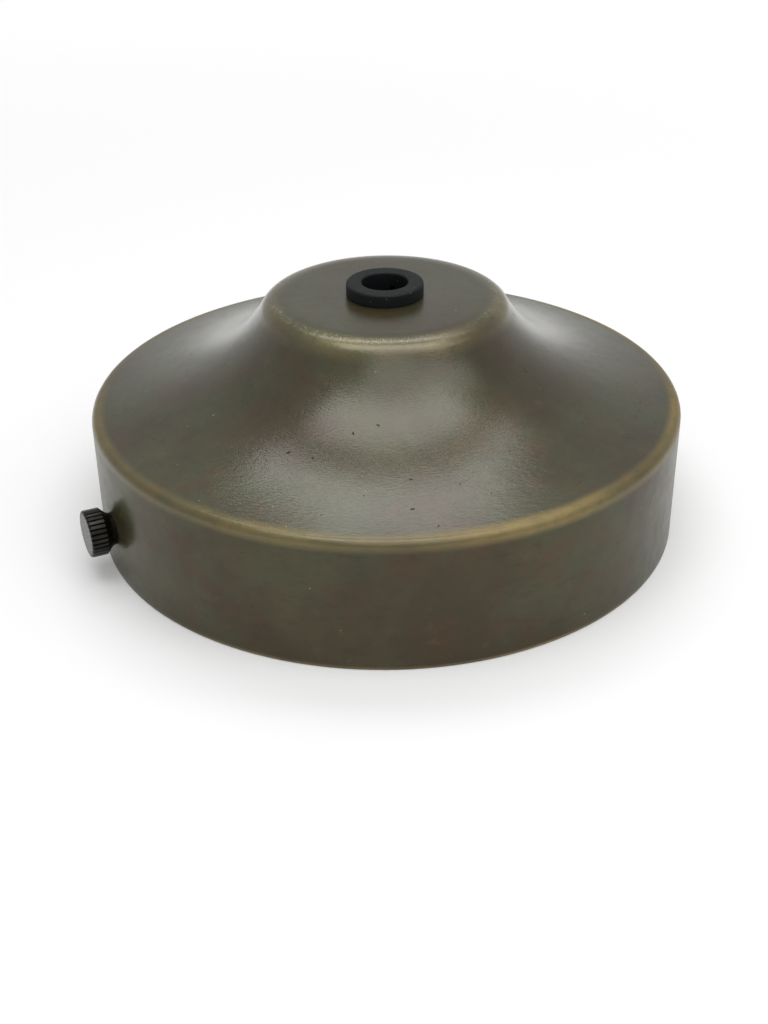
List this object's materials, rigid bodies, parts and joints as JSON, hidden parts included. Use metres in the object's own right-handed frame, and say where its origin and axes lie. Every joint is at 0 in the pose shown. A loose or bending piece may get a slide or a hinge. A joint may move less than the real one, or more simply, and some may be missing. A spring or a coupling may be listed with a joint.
{
  "type": "light fixture ceiling canopy",
  "caption": "Round spun ceiling canopy with a flared dome, a cable bush in its top, knurled side thumb screws and an inner mounting strap.",
  "frame": {"origin": "centre of the rim plane, where the rim and the strap's underside meet the ceiling", "axes": "+Z from the ceiling side along the shell's axis to the cable bush, +X through the thumb screws, +Y across them"},
  "size_m": [0.1174, 0.108, 0.0458],
  "materials": {
    "aged_brass": "aged brown satin patina, worn brighter at the edges",
    "black_plastic": "matt moulded",
    "zinc_steel": "zinc plated",
    "dark_bronze": "blackened satin",
    "plain_brass": "turned"
  },
  "bodies": {
    "canopy": {"canopy_shell": "aged_brass", "cable_bush": "black_plastic", "mounting_strap": "zinc_steel", "earth_screw": "plain_brass", "earth_washer": "plain_brass"},
    "left_screw": {"thumb_screw_left": "dark_bronze"},
    "right_screw": {"thumb_screw_right": "dark_bronze"}
  },
  "joints": [
    {"name": "left_screw_turn", "type": "hinge", "parent": "canopy", "child": "left_screw", "pos_m": [-0.05405, 0, 0.0088], "axis": [-1, 0, 0], "range_deg": [0, 3060]},
    {"name": "right_screw_turn", "type": "hinge", "parent": "canopy", "child": "right_screw", "pos_m": [0.05405, 0, 0.0088], "axis": [1, 0, 0], "range_deg": [0, 3060]}
  ]
}
